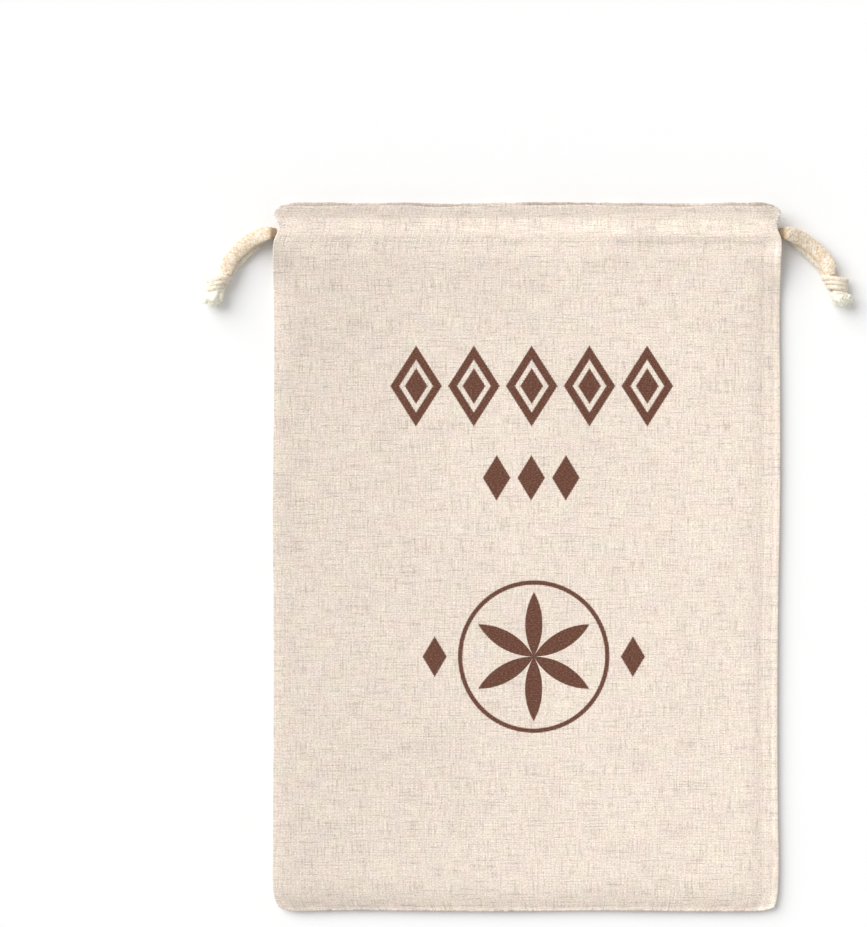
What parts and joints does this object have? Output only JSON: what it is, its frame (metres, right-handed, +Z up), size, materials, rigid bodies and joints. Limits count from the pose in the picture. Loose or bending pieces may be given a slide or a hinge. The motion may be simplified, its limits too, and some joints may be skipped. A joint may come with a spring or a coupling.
{
  "type": "linen bread bag",
  "caption": "Drawstring bread bag of plain woven linen, lying flat and empty, with stitched casings at its mouth and knotted cotton strings at its sides.",
  "frame": {"origin": "middle of the bag's underside, on the surface that it lies on, without its free strings", "axes": "+X across the bag, +Y along it towards its mouth, +Z up out of its front"},
  "size_m": [0.4045, 0.4406, 0.017],
  "materials": {
    "linen": "matte plain weave, unbleached",
    "cord": "matte braided cotton, unbleached"
  },
  "bodies": {
    "root": {"front_panel": "linen", "back_panel": "linen", "string_run_left": "cord", "string_run_right": "cord", "string_end_left_front": "cord", "string_end_left_back": "cord", "string_end_right_front": "cord", "string_end_right_back": "cord", "knot_left": "cord", "knot_right": "cord"}
  },
  "joints": []
}
